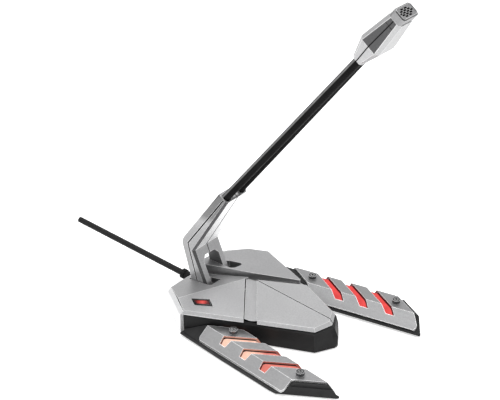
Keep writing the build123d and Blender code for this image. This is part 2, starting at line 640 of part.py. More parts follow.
with BuildPart() as capsule_frame:
    with BuildSketch(neck_plane(HEAD_END + 0.05)):
        RectangleRounded(CAP_W, CAP_D, 2.2)
    extrude(amount=5.9)
    chamfer(capsule_frame.faces().sort_by(Axis(COLLAR, NECK))[-1].edges(), 0.7)
    with BuildSketch(neck_plane(HEAD_END - 1)):
        RectangleRounded(CAP_W - 2.0, CAP_D - 2.0, 1.55)
    extrude(amount=9, mode=Mode.SUBTRACT)
save(capsule_frame.part, "capsule_frame")

with BuildPart() as capsule_grille:
    with BuildSketch(neck_plane(HEAD_END + 4.6)):
        RectangleRounded(CAP_W - 2.1, CAP_D - 2.1, 1.5)
        with Locations(*GRILLE_SLOTS):
            SlotOverall(2.6, 0.85, mode=Mode.SUBTRACT)
    extrude(amount=0.8)
save(capsule_grille.part, "capsule_grille")

with BuildPart() as capsule_foam:
    with BuildSketch(neck_plane(HEAD_END + 0.3)):
        RectangleRounded(CAP_W - 3.4, CAP_D - 3.4, 1.0)
    extrude(amount=4.2)
save(capsule_foam.part, "capsule_foam")

with BuildPart() as mic_element:
    with BuildSketch(neck_plane(HEAD_WIDE + 17.5)):
        Circle(3.0)
    extrude(amount=6.0)
save(mic_element.part, "mic_element")

# ------------------------------------------------------------ cable, sleeve
FLANGE_BACK, FLANGE_R, FLANGE_T = 24.0, 2.95, 2.6   # inner flange of the sleeve
with BuildPart() as cable_sleeve:
    # flange inside the tub, widened sideways to a slot shape
    with BuildSketch(cable_plane(FLANGE_BACK)):
        Circle(FLANGE_R)
    extrude(amount=FLANGE_T)
    with BuildSketch(Plane(origin=CABLE_REF - CABLE_DIR * FLANGE_BACK, x_dir=(1, 0, 0),
                           z_dir=CABLE_DIR)):
        SlotOverall(11.0, 2 * FLANGE_R)
    extrude(amount=FLANGE_T)
    # barrel through the wall
    with BuildSketch(cable_plane(21.5)):
        Circle(3.25)
    extrude(amount=4.2)
    # tapered body and end collar
    with BuildSketch(cable_plane(17.4)):
        Circle(4.6)
    with BuildSketch(cable_plane(2.6)):
        Circle(3.1)
    loft()
    with BuildSketch(cable_plane(2.7)):
        Circle(3.9)
    extrude(amount=2.9)
    # bore for the cable
    with BuildSketch(cable_plane(30)):
        Circle(CABLE_R + 0.02)
    extrude(amount=40, mode=Mode.SUBTRACT)
save(cable_sleeve.part, "cable_sleeve")

with BuildPart() as cable:
    with BuildSketch(cable_plane(25.0)):
        Circle(CABLE_R)
    extrude(amount=134.8)
save(cable.part, "cable")

# ------------------------------------------------------------------- feet
# Local frame of a foot: the first coordinate runs forwards along its bright
# ridge, the second across it. On both feet the second points towards -X: the
# sloping face is on its + side and the flat on its - side.
RIDGE_LEN = 85.6                    # length of the bright ridge
SLOPE_W, FLAT_W, FLANGE_W = 10.0, 15.2, 3.4
FOOT_Z = 11.5                       # height of the flat
SHEET_T = 1.2
SKEW = 1.21                         # along-ridge shift of the ends per mm across
INNER = -22                         # across, beyond the flange side of a foot
LIGHT_SLOTS = ((17.4, 25.3), (37.9, 46.0), (57.7, 65.8))    # start, end along the left ridge
LEFT_OVER, RIGHT_OVER = 4.6, 4.0    # reach of the cores past the front ends of the plates

# Cross-sections (across, height)
SHEET = [(SLOPE_W, 3.8), (0, FOOT_Z), (-FLAT_W, FOOT_Z), (-FLAT_W - FLANGE_W, 4.0),
         (-FLAT_W - FLANGE_W + 1.1, 3.5), (-14.43, FOOT_Z - SHEET_T),
         (-0.40, FOOT_Z - SHEET_T), (9.27, 2.85)]
CORE = [(11.0, PAD_T), (12.0, 1.6), (12.0, 2.2), (11.4, 2.75), (9.1, 2.75), (-0.46, 10.15),
        (-14.35, 10.15), (-17.3, 3.5), (-18.2, 3.0), (-18.2, 1.4), (-17.4, PAD_T)]
BAR = [(9.0, 4.6), (8.2, 1.9), (-17.6, 1.9), (-15.6, 6.6), (-14.2, 9.3), (-1.0, 9.3),
       (6.2, 3.75)]


class Foot:
    """Placement of one foot, its end skew, light slots, screws and the tub wall beside it."""

    def __init__(self, side, root, along, across, slots, screws):
        self.root, self.along, self.across = root, along, across
        self.skew = -side * SKEW
        self.slots = slots
        self.section = Plane(origin=root, x_dir=across, z_dir=along * -1)
        wall = Vector(-16.2 + 51.4, -58.2 - 31.2, 0).normalized()
        self.wall = Plane(origin=(side * 52.3, 31.2, 0), z_dir=(-side * wall.Y, -wall.X, 0))
        self.screws = self.plan(screws)

    def at(self, along, across):
        return self.root + self.along * along + self.across * across

    def plan(self, points):
        return [(point.X, point.Y) for point in (self.at(*pair) for pair in points)]

    def slot_outlines(self, depth, start_shift, end_shift, clearance=0.0):
        """Two outlines per slot: down the slope to depth, then slanted across the flat."""
        outlines = []
        for start, end in self.slots:
            low, high = start + clearance, end - clearance
            outlines.append(self.plan([(low, 0.0), (high, 0.0), (end + end_shift, depth),
                                       (start + start_shift, depth)]))
            outlines.append(self.plan([(low, 0.05), (high, 0.05), (high + self.skew * 20, -20),
                                       (low + self.skew * 20, -20)]))
        return outlines


left_foot = Foot(-1, Vector(-47.2, 13.2, 0), Vector(-0.1713, -0.9852, 0),
                 Vector(-0.9852, 0.1713, 0), LIGHT_SLOTS, [(19.0, -7.6), (85.7, -7.9)])
right_foot = Foot(1, Vector(42.6, -10.4, 0), Vector(0.1553, -0.9879, 0),
                  Vector(-0.9879, -0.1553, 0),
                  [(RIDGE_LEN - end, RIDGE_LEN - start) for start, end in LIGHT_SLOTS],
                  [(0.3, -7.6), (68.7, -6.8)])
left_slots = left_foot.slot_outlines(4.9, 1.2, -1.2)
right_slots = right_foot.slot_outlines(4.9, 5.4, 4.2)


def foot_plate(name, foot, behind, slope_corners, rounded, radius, slots):
    """Bent sheet; slope_corners are its plan corners down the slope, rear then front."""
    with BuildPart() as sheet:
        with BuildSketch(foot.section.offset(behind)):
            Polygon(*SHEET, align=None)
        extrude(amount=-145)
        with BuildSketch(Plane.XY) as plan:
            Polygon(*foot.plan([(0, 0), *slope_corners, (RIDGE_LEN, 0),
                                (RIDGE_LEN - foot.skew * INNER, INNER),
                                (-foot.skew * INNER, INNER)]), align=None)
            fillet([v for v in plan.vertices()
                    if any((Vector(v.X, v.Y, 0) - foot.at(*corner)).length < 1
                           for corner in rounded)], radius)
        extrude(amount=THROUGH, mode=Mode.INTERSECT)
        split(bisect_by=foot.wall.offset(0.3), keep=Keep.TOP)
        with BuildSketch(Plane.XY):
            for outline in slots:
                Polygon(*outline, align=None)
        extrude(amount=THROUGH, mode=Mode.SUBTRACT)
        with BuildSketch(Plane.XY):
            with Locations(*foot.screws):
                Circle(1.6)
        extrude(amount=THROUGH, mode=Mode.SUBTRACT)
    save(sheet.part, name)


def foot_core(name, foot, behind, length, outline, slots, step=(), rear_y=None):
    """Black moulding under a plate, with a step cut or a rear limit if given."""
    with BuildPart() as core:
        with BuildSketch(foot.section.offset(behind)):
            Polygon(*CORE, align=None)
        extrude(amount=-length)
        with BuildSketch(Plane.XY):
            Polygon(*foot.plan(outline), align=None)
        extrude(amount=THROUGH, mode=Mode.INTERSECT)
        if step:
            with BuildSketch(Plane.XY.offset(7.4)):
                Polygon(*foot.plan(step), align=None)
            extrude(amount=6, mode=Mode.SUBTRACT)
        split(bisect_by=foot.wall.offset(0.05), keep=Keep.TOP)
        if rear_y is not None:
            split(bisect_by=Plane(origin=(0, rear_y, 0), z_dir=(0, 1, 0)), keep=Keep.BOTTOM)
        with BuildSketch(Plane.XY.offset(1.8)):
            for slot in slots:
                Polygon(*slot, align=None)
        extrude(amount=THROUGH, mode=Mode.SUBTRACT)
        with BuildSketch(Plane.XY.offset(4)):
            with Locations(*foot.screws):
                Circle(1.55)
        extrude(amount=THROUGH, mode=Mode.SUBTRACT)
    save(core.part, name)


def light_bars(name, foot, behind, length, outlines):
    """Bars that fill the light slots of a foot."""
    with BuildPart() as bars:
        with BuildSketch(foot.section.offset(behind)):
            Polygon(*BAR, align=None)
        extrude(amount=-length)
        with BuildSketch(Plane.XY):
            for outline in outlines:
                Polygon(*outline, align=None)
        extrude(amount=THROUGH, mode=Mode.INTERSECT)
    save(bars.part, name)


foot_plate("foot_plate_left", left_foot, 20, slope_corners=[(0.4, 9.4), (84.9, 8.2)],
           rounded=[(0.4, 9.4), (84.9, 8.2)], radius=2.6, slots=left_slots)
foot_plate("foot_plate_right", right_foot, 30, slope_corners=[(7.7, 9.9), (93.2, 9.9)],
           rounded=[(93.2, 9.9)], radius=2.4, slots=right_slots)

left_end = RIDGE_LEN + LEFT_OVER
right_end = RIDGE_LEN + RIGHT_OVER
foot_core("foot_core_left", left_foot, 16.5, 140,
          [(-30, 12.6), (74, 9.7), (79.4, 9.0), (left_end - SKEW * 6.4, 6.4),
           (left_end - SKEW * INNER, INNER), (-30, INNER)],
          left_slots,
          # lowers the top of the front end
          step=[(left_end - 1.3 - SKEW * 10, 10), (left_end + 9 - SKEW * 10, 10),
                (left_end + 9 - SKEW * INNER, INNER), (left_end - 1.3 - SKEW * INNER, INNER)])
foot_core("foot_core_right", right_foot, 42, 150,
          [(-60, 12.6), (92.0, 12.6), (95.2, 10.4), (right_end, 0),
           (right_end + SKEW * INNER, INNER), (-60, INNER)],
          right_slots, rear_y=29.5)

light_bars("light_bars_left", left_foot, 0, 120,
           left_foot.slot_outlines(4.75, 1.35, -1.35, clearance=0.15))
light_bars("light_bars_right", right_foot, 20, 110,
           right_foot.slot_outlines(4.75, 5.4, 3.9, clearance=0.15))

# socket head screws, two on each foot
FOOT_SCREWS = left_foot.screws + right_foot.screws
SHANK_Z = 4.5               # lower end of the shanks
with BuildPart() as foot_screws:
    with BuildSketch(Plane.XY.offset(SHANK_Z)):
        with Locations(*FOOT_SCREWS):
            Circle(1.5)
    extrude(amount=FOOT_Z - SHANK_Z)
    with BuildSketch(Plane.XY.offset(FOOT_Z)):
        with Locations(*FOOT_SCREWS):
            Circle(3.0)
    extrude(amount=2.8)
    with BuildSketch(Plane.XY.offset(FOOT_Z + 1.2)):
        with Locations(*FOOT_SCREWS):
            RegularPolygon(1.6, 6)
    extrude(amount=3, mode=Mode.SUBTRACT)
save(foot_screws.part, "foot_screws")

# rubber pads: four under the tub, two under each foot
PAD_SPOTS = [(-34.0, 40.0), (34.0, 40.0), (0.0, -52.0), (0.0, 0.0),
             *left_foot.plan([(44, -6), (84, -6)]), *right_foot.plan([(32, -6), (74, -3)])]
with BuildPart() as rubber_pads:
    with BuildSketch(Plane.XY):
        with Locations(*PAD_SPOTS):
            Circle(5.0)
    extrude(amount=PAD_T)
save(rubber_pads.part, "rubber_pads")

# steel straps that tie each foot to the underside of the tub
STRAP_Z = 0.1
with BuildPart() as foot_straps:
    for _, side in SIDES:
        with BuildSketch(Plane(origin=(side * 37.0, -6.0, STRAP_Z),
                               x_dir=(side * 0.93, -0.36, 0), z_dir=(0, 0, 1))):
            Rectangle(34, 10)
    extrude(amount=PAD_T - STRAP_Z)
save(foot_straps.part, "foot_straps")
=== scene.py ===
# Desk microphone: a base with two light-barred feet, an upright yoke, and a pair of ribbed
# goosenecks that carry the head and its capsule.
# Metres, +Z up. The necks lean forward, towards -Y; left is -X; the base stands at z = 0.
import json
import math
from collections import namedtuple

import bpy
import bmesh
from mathutils import Matrix, Vector
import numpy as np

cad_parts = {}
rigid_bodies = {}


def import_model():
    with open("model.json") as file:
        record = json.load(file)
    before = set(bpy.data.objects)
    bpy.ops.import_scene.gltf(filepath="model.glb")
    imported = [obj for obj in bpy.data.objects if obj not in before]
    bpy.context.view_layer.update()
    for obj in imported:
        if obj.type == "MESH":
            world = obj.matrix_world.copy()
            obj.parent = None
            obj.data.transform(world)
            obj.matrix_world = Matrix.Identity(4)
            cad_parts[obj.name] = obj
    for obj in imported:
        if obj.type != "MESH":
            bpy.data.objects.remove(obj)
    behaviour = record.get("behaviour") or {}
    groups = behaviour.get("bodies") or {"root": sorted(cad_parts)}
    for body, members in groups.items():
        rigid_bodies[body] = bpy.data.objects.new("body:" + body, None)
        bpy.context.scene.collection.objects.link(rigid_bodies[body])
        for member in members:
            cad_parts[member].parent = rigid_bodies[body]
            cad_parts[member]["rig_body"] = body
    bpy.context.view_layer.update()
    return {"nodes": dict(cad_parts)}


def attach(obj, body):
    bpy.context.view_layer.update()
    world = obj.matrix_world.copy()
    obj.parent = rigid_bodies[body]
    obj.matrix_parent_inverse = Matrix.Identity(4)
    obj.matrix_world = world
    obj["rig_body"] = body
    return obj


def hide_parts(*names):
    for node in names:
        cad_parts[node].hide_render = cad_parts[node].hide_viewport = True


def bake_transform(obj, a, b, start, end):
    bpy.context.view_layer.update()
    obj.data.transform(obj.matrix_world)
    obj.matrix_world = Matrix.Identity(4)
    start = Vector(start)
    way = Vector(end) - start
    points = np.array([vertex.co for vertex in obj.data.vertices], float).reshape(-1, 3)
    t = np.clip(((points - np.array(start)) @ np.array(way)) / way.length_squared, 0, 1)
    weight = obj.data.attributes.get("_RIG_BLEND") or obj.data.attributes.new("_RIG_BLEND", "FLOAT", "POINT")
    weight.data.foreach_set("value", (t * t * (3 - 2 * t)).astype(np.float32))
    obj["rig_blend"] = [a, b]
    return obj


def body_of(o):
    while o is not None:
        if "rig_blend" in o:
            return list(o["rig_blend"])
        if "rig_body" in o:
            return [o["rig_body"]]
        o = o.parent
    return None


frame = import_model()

nodes = frame["nodes"]
scene = bpy.context.scene

# ------------------------------------------------------------ shared frame
# Unit directions in the plane of symmetry, set by the lean of the necks.
LEAN_COS, LEAN_SIN = 0.78051, 0.62514
NECK_WAY = (0, -LEAN_SIN, LEAN_COS)
BACK_WAY = (0, LEAN_COS, LEAN_SIN)
FRONT_WAY = (0, -LEAN_COS, -LEAN_SIN)
SIDE_WAY = (1, 0, 0)
COLLAR_POINT = (0, 0.0268, 0.0933)  # on the neck axis, where the necks leave the yoke

COLLAR = Vector(COLLAR_POINT)
NECK = Vector(NECK_WAY).normalized()
SIDE = Vector(SIDE_WAY)
OVER = NECK.cross(SIDE).normalized()

# Camera place and axes; the studio surround is darkened around the camera.
CAMERA_PLACE = Vector((-0.588904, -0.441858, 0.495906))
CAMERA_RIGHT = Vector((0.60998, -0.79242, 0.0))
CAMERA_UP = Vector((0.37759, 0.29066, 0.87917))
CAMERA_BACK = Vector((-0.69667, -0.53628, 0.47651))

BLACK = (0, 0, 0, 1)
WHITE = (1, 1, 1, 1)


# ---------------------------------------------------------- shader helpers
mats = {}


def new_material(name):
    """An empty material with a Principled shader, kept in `mats` under its name."""
    material = bpy.data.materials.new(name)
    material.use_nodes = True
    tree = material.node_tree
    tree.nodes.clear()
    output = tree.nodes.new("ShaderNodeOutputMaterial")
    bsdf = tree.nodes.new("ShaderNodeBsdfPrincipled")
    tree.links.new(bsdf.outputs["BSDF"], output.inputs["Surface"])
    mats[name] = material
    return tree, bsdf


def feed(tree, socket, value):
    """Link a socket into an input, or set a plain value on it."""
    if isinstance(value, bpy.types.NodeSocket):
        tree.links.new(value, socket)
    else:
        socket.default_value = value


def grey(level):
    return (level, level, level, 1)


def coords(tree, scale=(1, 1, 1), rotation=(0, 0, 0)):
    source = tree.nodes.new("ShaderNodeTexCoord")
    mapping = tree.nodes.new("ShaderNodeMapping")
    mapping.inputs["Scale"].default_value = scale
    mapping.inputs["Rotation"].default_value = rotation
    tree.links.new(source.outputs["Object"], mapping.inputs["Vector"])
    return mapping.outputs["Vector"]


def noise(tree, vector, scale, detail=4.0, rough=0.55):
    node = tree.nodes.new("ShaderNodeTexNoise")
    node.inputs["Scale"].default_value = scale
    node.inputs["Detail"].default_value = detail
    node.inputs["Roughness"].default_value = rough
    tree.links.new(vector, node.inputs["Vector"])
    return node.outputs["Fac"]


def ramp(tree, factor, stops):
    """Colour ramp; stops are (position, RGBA)."""
    node = tree.nodes.new("ShaderNodeValToRGB")
    elements = node.color_ramp.elements
    for element, (position, colour) in zip(elements, (stops[0], stops[-1])):
        element.position, element.color = position, colour
    for position, colour in stops[1:-1]:
        elements.new(position).color = colour
    tree.links.new(factor, node.inputs["Fac"])
    return node.outputs["Color"]


def map_range(tree, value, source, target, smooth=False):
    """Map the pair `source` onto the pair `target`."""
    node = tree.nodes.new("ShaderNodeMapRange")
    if smooth:
        node.interpolation_type = "SMOOTHSTEP"
    node.inputs["From Min"].default_value, node.inputs["From Max"].default_value = source
    node.inputs["To Min"].default_value, node.inputs["To Max"].default_value = target
    tree.links.new(value, node.inputs["Value"])
    return node.outputs["Result"]


def calc(tree, operation, first, second):
    node = tree.nodes.new("ShaderNodeMath")
    node.operation = operation
    feed(tree, node.inputs[0], first)
    feed(tree, node.inputs[1], second)
    return node.outputs[0]


def vector_calc(tree, operation, first, second):
    """Vector maths that gives a single number."""
    node = tree.nodes.new("ShaderNodeVectorMath")
    node.operation = operation
    feed(tree, node.inputs[0], first)
    feed(tree, node.inputs[1], second)
    return node.outputs["Value"]


def split_xyz(tree, vector):
    node = tree.nodes.new("ShaderNodeSeparateXYZ")
    tree.links.new(vector, node.inputs["Vector"])
    return node.outputs


def bump(tree, bsdf, height, strength, distance, under=None):
    node = tree.nodes.new("ShaderNodeBump")
    node.inputs["Strength"].default_value = strength
    node.inputs["Distance"].default_value = distance
    tree.links.new(height, node.inputs["Height"])
    if under is not None:
        tree.links.new(under, node.inputs["Normal"])
    tree.links.new(node.outputs["Normal"], bsdf.inputs["Normal"])
    return node.outputs["Normal"]


def mix(tree, factor, first, second, mode="MIX"):
    node = tree.nodes.new("ShaderNodeMix")
    node.data_type = "RGBA"
    node.blend_type = mode
    feed(tree, node.inputs[0], factor)
    feed(tree, node.inputs[6], first)
    feed(tree, node.inputs[7], second)
    return node.outputs[2]


def multiply(tree, first, second):
    return mix(tree, 1.0, first, second, "MULTIPLY")


def multiply_level(tree, colour, level):
    """Scale a colour by a single number."""
    node = tree.nodes.new("ShaderNodeCombineColor")
    for channel in range(3):
        tree.links.new(level, node.inputs[channel])
    return multiply(tree, colour, node.outputs["Color"])


def edge_mask(tree, radius=0.0005, gain=20.0):
    """1 along edges, 0 on flats: how far the rounded normal turns from the true one."""
    rounded = tree.nodes.new("ShaderNodeBevel")
    rounded.samples = 4
    rounded.inputs["Radius"].default_value = radius
    geometry = tree.nodes.new("ShaderNodeNewGeometry")
    facing = vector_calc(tree, "DOT_PRODUCT", rounded.outputs["Normal"],
                         geometry.outputs["Normal"])
    turned = calc(tree, "SUBTRACT", 1.0, facing)
    return calc(tree, "MINIMUM", calc(tree, "MULTIPLY", turned, gain), 1.0)


def offset_along(tree, vector, origin, way):
    """Signed distance from `origin`, measured along `way`."""
    reach = vector_calc(tree, "DOT_PRODUCT", vector, way)
    return calc(tree, "SUBTRACT", reach, Vector(origin).dot(Vector(way)))


def level_by_ray(tree, level, camera_extra):
    """`level` for every ray, plus `camera_extra` for rays from the camera."""
    path = tree.nodes.new("ShaderNodeLightPath")
    extra = calc(tree, "MULTIPLY", path.outputs["Is Camera Ray"], camera_extra)
    return calc(tree, "ADD", extra, level)


# --------------------------------------------------------- material makers
# A dark band: a plane through `point`, `half` its half width, `keep` the brightness left in it. Joint lines
# are dark bands, and so is the painted shade on the yoke's back edge.
Seam = namedtuple("Seam", "point normal half keep")

# Oblong holes of the grille, painted dark as shade a little wider than they are cut: a slanted lattice,
# measured across (X) and along BACK_WAY.
HOLE_SHIFT = -0.0005
HOLE_STEP_ACROSS = 0.00195
HOLE_STEP_BACK = 0.00125
HOLE_HALF_LENGTH = 0.00088  # from the middle to the centre of a round end
HOLE_RADIUS = 0.00062
HOLE_CENTRES = [(HOLE_SHIFT + HOLE_STEP_ACROSS * (i - j), HOLE_STEP_BACK * (3 - i - j))
                for i in range(4) for j in range(4) if 0 < i + j < 6]


def hole_shade_mask(tree, vector):
    """Painted shade: nearly 0 inside the grille holes, 1 elsewhere."""
    across = offset_along(tree, vector, COLLAR_POINT, SIDE_WAY)
    back = offset_along(tree, vector, COLLAR_POINT, BACK_WAY)
    nearest = None
    for centre_across, centre_back in HOLE_CENTRES:
        du = calc(tree, "ABSOLUTE", calc(tree, "SUBTRACT", across, centre_across), 0.0)
        du = calc(tree, "MAXIMUM", calc(tree, "SUBTRACT", du, HOLE_HALF_LENGTH), 0.0)
        dv = calc(tree, "SUBTRACT", back, centre_back)
        square = calc(tree, "ADD", calc(tree, "MULTIPLY", du, du),
                      calc(tree, "MULTIPLY", dv, dv))
        nearest = square if nearest is None else calc(tree, "MINIMUM", nearest, square)
    return map_range(tree, calc(tree, "SQRT", nearest, 0.0),
                     (HOLE_RADIUS * 0.9, HOLE_RADIUS), (0.02, 1.0))


def dark_band_mask(tree, vector, dark_band):
    """`keep` in the band, 1 elsewhere."""
    away = offset_along(tree, vector, dark_band.point, dark_band.normal)
    away = calc(tree, "ABSOLUTE", away, 0.0)
    return map_range(tree, away, (dark_band.half * 0.75, dark_band.half), (dark_band.keep, 1.0))


def silver(name, base, metallic, rough, spread=0.035, brushed=False, edge=0.3, shine=1.0,
           lift=0.0, heights=None, dark_bands=(), holes=False):
    """Metallic silver lacquer: flake grain, cloudy tone drift, and edges painted paler and glowing as
    highlights.

    spread: colour range of the flakes; edge: strength of the painted edge highlight; shine: its glow
    relative to `edge`; lift: even glow, painted light; heights: (z / 0.1 m, brightness) stops, painted
    reflection.
    """
    tree, bsdf = new_material(name)
    vector = coords(tree)
    flake = noise(tree, vector, scale=2600, detail=3.0, rough=0.6)
    cloud = noise(tree, vector, scale=38, detail=3.0, rough=0.5)
    deep = tuple(max(0, c - spread) for c in base) + (1,)
    pale = tuple(min(1, c + spread) for c in base) + (1,)
    colour = ramp(tree, flake, [(0.32, deep), (0.68, pale)])
    drift = ramp(tree, cloud, [(0.3, (0.93, 0.93, 0.935, 1)), (0.7, WHITE)])
    colour = multiply(tree, colour, drift)
    speck = noise(tree, vector, scale=1000, detail=2.0, rough=0.5)
    colour = multiply(tree, colour, ramp(tree, speck, [(0.35, grey(0.93)), (0.65, grey(1.04))]))
    # Painted reflection: brightness stops up the height of the piece.
    if heights:
        height = map_range(tree, split_xyz(tree, vector)["Z"], (0.0, 0.1), (0.0, 1.0))
        colour = multiply(tree, colour, ramp(tree, height, [(p, grey(v)) for p, v in heights]))
    if brushed:
        stretched = coords(tree, scale=(1, 0.05, 1), rotation=(0, 0, 0.15))
        streak = noise(tree, stretched, scale=900, detail=4.0, rough=0.7)
        colour = multiply(tree, colour, ramp(tree, streak, [(0.3, grey(0.9)), (0.7, WHITE)]))

    # Painted highlight: edges turn paler and glow as if catching the light; `lift` adds painted light all
    # over.
    edges = edge_mask(tree)
    bright = tuple(min(1, c + 0.35) for c in base) + (1,)
    colour = mix(tree, calc(tree, "MULTIPLY", edges, min(1.0, edge * 2.2)), colour, bright)
    glow = calc(tree, "ADD", calc(tree, "MULTIPLY", edges, edge * shine), lift)
    # Painted shade: the grille holes are darkened, a little wider than cut.
    if holes:
        clear = hole_shade_mask(tree, vector)
        colour = multiply_level(tree, colour, clear)
        glow = calc(tree, "MULTIPLY", glow, clear)
    # Dark bands: joint lines, and painted shade where a band stands for shade only.
    for dark_band in dark_bands:
        clear = dark_band_mask(tree, vector, dark_band)
        colour = multiply_level(tree, colour, clear)
        glow = calc(tree, "MULTIPLY", glow, clear)

    feed(tree, bsdf.inputs["Base Color"], colour)
    feed(tree, bsdf.inputs["Emission Color"], WHITE)
    feed(tree, bsdf.inputs["Emission Strength"], glow)
    feed(tree, bsdf.inputs["Metallic"], metallic)
    feed(tree, bsdf.inputs["Roughness"],
         map_range(tree, flake, (0.3, 0.7), (rough - 0.05, rough + 0.07)))
    normal = bump(tree, bsdf, flake, strength=0.12, distance=0.00012)
    if brushed:
        bump(tree, bsdf, streak, strength=0.10, distance=0.00010, under=normal)


def black(name, base=0.022, rough=0.5, grain=1500, relief=0.25, coat=0.0, edge=0.5,
          specular=0.2):
    """Dark plastic, rubber or cloth; `relief` is the strength of its grain."""
    tree, bsdf = new_material(name)
    vector = coords(tree)
    fine = noise(tree, vector, grain, detail=4.0, rough=0.6)
    cloud = noise(tree, vector, scale=60, detail=3.0, rough=0.5)

    def tone(red_green, blue):
        return (base * red_green, base * red_green, base * blue, 1)

    colour = ramp(tree, cloud, [(0.3, tone(0.8, 0.82)), (0.7, tone(1.3, 1.33))])
    # Painted highlight: edges turn paler by `edge`.
    edges = edge_mask(tree)
    colour = mix(tree, calc(tree, "MULTIPLY", edges, edge), colour, tone(4, 4.1))
    feed(tree, bsdf.inputs["Base Color"], colour)
    feed(tree, bsdf.inputs["Roughness"],
         map_range(tree, fine, (0.3, 0.7), (rough - 0.08, rough + 0.1)))
    feed(tree, bsdf.inputs["Coat Weight"], coat)
    feed(tree, bsdf.inputs["Specular IOR Level"], specular)
    bump(tree, bsdf, fine, strength=relief, distance=0.0002)


def band_light(name, stops, bounce):
    """Light guide: colour changes along world Y, with milky mottling.

    It glows at level 1 to the camera and at `bounce` to other surfaces.
    """
    tree, bsdf = new_material(name)
    geometry = tree.nodes.new("ShaderNodeNewGeometry")
    along = map_range(tree, split_xyz(tree, geometry.outputs["Position"])["Y"],
                      (-0.060, 0.020), (0.0, 1.0))
    colour = ramp(tree, along, stops)
    mottle = noise(tree, coords(tree), scale=220, detail=3.0, rough=0.5)
    colour = multiply(tree, colour,
                      ramp(tree, mottle, [(0.3, (0.80, 0.76, 0.76, 1)), (0.7, WHITE)]))
    feed(tree, bsdf.inputs["Base Color"], mix(tree, 0.75, colour, BLACK))
    feed(tree, bsdf.inputs["Emission Color"], colour)
    feed(tree, bsdf.inputs["Emission Strength"],
         level_by_ray(tree, bounce, camera_extra=1.0 - bounce))
    feed(tree, bsdf.inputs["Roughness"], 0.5)
    feed(tree, bsdf.inputs["Specular IOR Level"], 0.2)
    grain = noise(tree, coords(tree), scale=1200, detail=3.0, rough=0.5)
    bump(tree, bsdf, grain, strength=0.15, distance=0.0001)


def key_light(name, centre, radius):
    """Back-lit key: brightest in the middle, nearly black at its rim."""
    tree, bsdf = new_material(name)
    geometry = tree.nodes.new("ShaderNodeNewGeometry")
    distance = vector_calc(tree, "DISTANCE", geometry.outputs["Position"], centre)
    mottle = noise(tree, coords(tree), scale=420, detail=3.0, rough=0.6)
    outward = calc(tree, "ADD", map_range(tree, distance, (0.0, radius), (0.0, 1.0)),
                   map_range(tree, mottle, (0.3, 0.7), (-0.14, 0.14)))
    colour = ramp(tree, outward, [(0.0, (0.85, 0.10, 0.08, 1)),
                                  (0.45, (0.50, 0.035, 0.03, 1)),
                                  (0.85, (0.10, 0.006, 0.006, 1))])
    feed(tree, bsdf.inputs["Base Color"], mix(tree, 0.8, colour, grey(0.002)))
    feed(tree, bsdf.inputs["Emission Color"], colour)
    feed(tree, bsdf.inputs["Emission Strength"], 0.9)
    feed(tree, bsdf.inputs["Roughness"], 0.22)
    feed(tree, bsdf.inputs["Specular IOR Level"], 0.3)
    bump(tree, bsdf, mottle, strength=0.08, distance=0.0001)


def add_sheen(material, towards, level):
    """Long soft reflection along the side of a round piece that faces `towards`."""
    tree = material.node_tree
    bsdf = next(n for n in tree.nodes if n.type == "BSDF_PRINCIPLED")
    geometry = tree.nodes.new("ShaderNodeNewGeometry")
    facing = vector_calc(tree, "DOT_PRODUCT", geometry.outputs["Normal"], towards)
    full, faint = grey(level), grey(level * 0.08)
    colour = ramp(tree, facing, [(0.0, BLACK), (0.42, BLACK), (0.52, full),
                                 (0.76, full), (0.86, faint), (1.0, faint)])
    mottle = noise(tree, coords(tree), scale=260, detail=3.0, rough=0.5)
    colour = multiply(tree, colour, ramp(tree, mottle, [(0.3, grey(0.7)), (0.7, WHITE)]))
    feed(tree, bsdf.inputs["Emission Color"], colour)
    feed(tree, bsdf.inputs["Emission Strength"], 1.0)


# --------------------------------------------------------------- materials
def yoke_back_point():
    """The rearmost corner of the upper part of the yoke."""
    source = nodes["yoke_left"]
    points = [source.matrix_world @ v.co for v in source.data.vertices]
    return tuple(max((p for p in points if p.z > 0.06), key=lambda p: p.dot(Vector(BACK_WAY))))


HEAD_SEAM_REACH = 0.2003  # from the collar along the neck axis to the seam across the head
HEAD_SEAM_POINT = (0, COLLAR_POINT[1] - LEAN_SIN * HEAD_SEAM_REACH,
                   COLLAR_POINT[2] + LEAN_COS * HEAD_SEAM_REACH)
# Painted shade: a dark band along the yoke's back edge, where there is no joint.
yoke_back_shade = Seam(yoke_back_point(), BACK_WAY, half=0.0011, keep=0.40)
shell_seam = Seam(COLLAR_POINT, FRONT_WAY, half=0.00046, keep=0.03)
head_seam = Seam(HEAD_SEAM_POINT, NECK_WAY, half=0.00030, keep=0.35)
yoke_joint = Seam((0, 0, 0), SIDE_WAY, half=0.00050, keep=0.25)
yoke_front_joint = Seam((0, 0, 0), SIDE_WAY, half=0.00080, keep=0.04)

silver("cover_silver", (0.63, 0.63, 0.635), metallic=0.9, rough=0.40)
# The rear and wing covers share the cover silver; their lower base is painted shade.
silver("rear_silver_shaded", (0.56, 0.56, 0.565), metallic=0.9, rough=0.40)
silver("wing_silver_shaded", (0.56, 0.56, 0.565), metallic=0.9, rough=0.40)
silver("bright_silver", (0.62, 0.62, 0.625), metallic=0.85, rough=0.34, dark_bands=[shell_seam])
silver("foot_sheet", (0.52, 0.52, 0.525), metallic=0.95, rough=0.38, brushed=True,
       edge=0.45, shine=1.5)
# The far foot plate is a darker copy of the near one: painted shade.
silver("foot_sheet_far_shaded", (0.42, 0.42, 0.425), metallic=0.9, rough=0.46, brushed=True,
       edge=0.45, shine=1.5)
